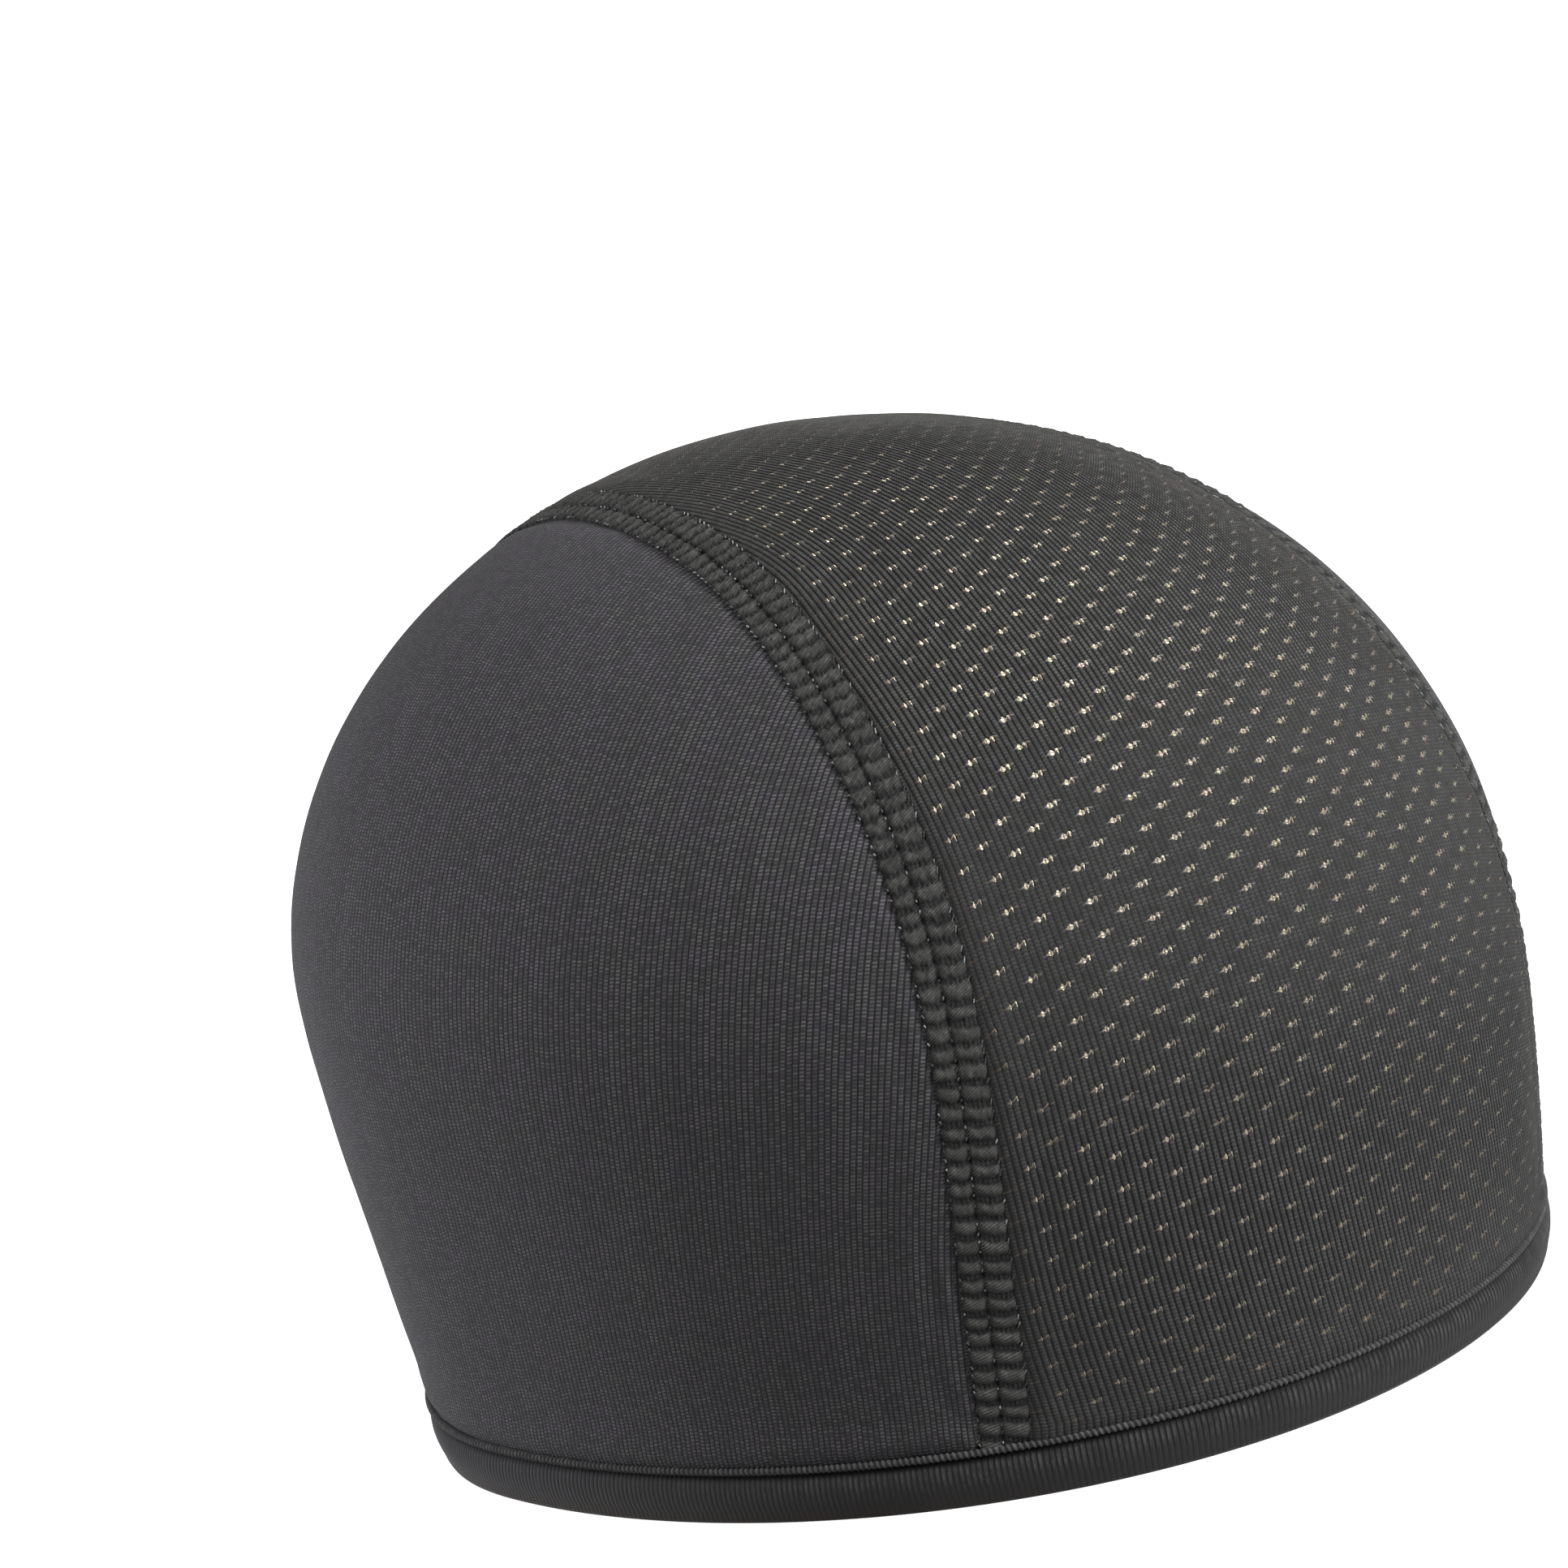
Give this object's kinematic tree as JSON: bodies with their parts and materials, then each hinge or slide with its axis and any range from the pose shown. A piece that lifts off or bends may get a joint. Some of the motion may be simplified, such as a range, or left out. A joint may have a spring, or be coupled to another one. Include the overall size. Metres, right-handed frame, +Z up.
{
  "type": "helmet liner cap",
  "caption": "Close-fitting knit cap worn under a helmet, with an eyelet mesh panel over the crown, smooth side panels, flat seams and a ribbed hem band.",
  "frame": {"origin": "centre of the cap's footprint, on the level that its hem rests on", "axes": "+Z up through the crown, -Y towards the forehead, +X towards the wearer's left"},
  "size_m": [0.1644, 0.194, 0.134],
  "materials": {
    "mesh_knit": "dark grey ribbed eyelet mesh knit",
    "smooth_knit": "charcoal fine smooth knit",
    "seam_thread": "grey flat seam of close overlock stitches",
    "hem_rib": "charcoal ribbed knit"
  },
  "bodies": {
    "root": {"mesh_panel": "mesh_knit", "side_panel_left": "smooth_knit", "side_panel_right": "smooth_knit", "seam_left": "seam_thread", "seam_right": "seam_thread", "hem_band": "hem_rib"}
  },
  "joints": []
}
